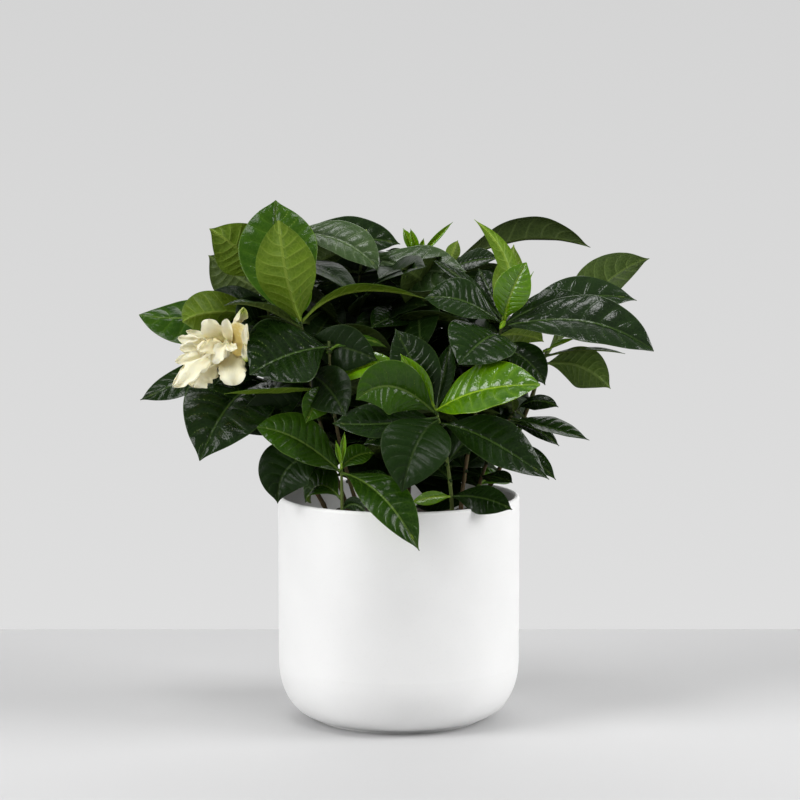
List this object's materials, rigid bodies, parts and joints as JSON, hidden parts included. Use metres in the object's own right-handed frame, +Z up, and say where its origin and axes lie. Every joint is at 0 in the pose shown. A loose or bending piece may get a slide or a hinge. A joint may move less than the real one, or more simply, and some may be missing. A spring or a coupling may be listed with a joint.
{
  "type": "potted gardenia",
  "caption": "Bushy gardenia shrub with glossy leaves, young shoots and one cream bloom, growing in a plain white round planter.",
  "frame": {"origin": "centre of the planter's flat foot, on the surface it stands on", "axes": "+Z up, -Y towards the front of the plant, +X to its right as seen from the front, so the bloom is at -X"},
  "size_m": [0.3383, 0.2406, 0.3442],
  "materials": {
    "ceramic": "matte",
    "soil": "matte",
    "stem_woody": "matte",
    "stem_green": "satin",
    "calyx": "satin",
    "leaf_mature": "gloss",
    "leaf_fresh": "satin",
    "leaf_young": "satin",
    "petal": "satin"
  },
  "bodies": {
    "root": {"planter": "ceramic", "potting_soil": "soil", "stem_left": "stem_woody", "stem_far_left": "stem_woody", "stem_crown_left": "stem_woody", "stem_crown": "stem_woody", "stem_crown_right": "stem_woody", "stem_right": "stem_woody", "stem_far_right": "stem_woody", "stem_front": "stem_green", "stem_front_left": "stem_woody", "stem_low_left": "stem_green", "stem_low_right": "stem_woody", "stem_back": "stem_woody", "flower_calyx": "calyx", "leaf_far_left_1": "leaf_fresh", "leaf_far_left_2": "leaf_fresh", "leaf_far_left_3": "leaf_mature", "leaf_far_left_4": "leaf_fresh", "leaf_far_left_5": "leaf_mature", "leaf_far_left_6": "leaf_mature", "leaf_left_1": "leaf_fresh", "leaf_left_2": "leaf_fresh", "leaf_left_3": "leaf_mature", "leaf_left_4": "leaf_mature", "leaf_left_5": "leaf_fresh", "leaf_top_1": "leaf_mature", "leaf_top_2": "leaf_mature", "leaf_top_3": "leaf_mature", "leaf_top_4": "leaf_mature", "leaf_right_1": "leaf_fresh", "leaf_right_2": "leaf_young", "leaf_right_3": "leaf_mature", "leaf_right_4": "leaf_mature", "leaf_right_5": "leaf_mature", "leaf_right_6": "leaf_mature", "leaf_far_right_1": "leaf_fresh", "leaf_far_right_2": "leaf_fresh", "leaf_front_1": "leaf_young", "leaf_front_2": "leaf_mature", "leaf_front_3": "leaf_mature", "leaf_front_4": "leaf_mature", "leaf_front_5": "leaf_fresh", "leaf_low_left_1": "leaf_fresh", "leaf_low_left_2": "leaf_fresh", "leaf_low_left_3": "leaf_fresh", "leaf_low_left_4": "leaf_mature", "leaf_low_right_1": "leaf_mature", "leaf_back_1": "leaf_mature", "leaf_back_2": "leaf_mature", "leaf_back_3": "leaf_mature", "petal_1": "petal", "petal_2": "petal", "petal_3": "petal", "petal_4": "petal", "petal_5": "petal", "petal_6": "petal", "petal_7": "petal", "petal_8": "petal", "petal_9": "petal"}
  },
  "joints": []
}
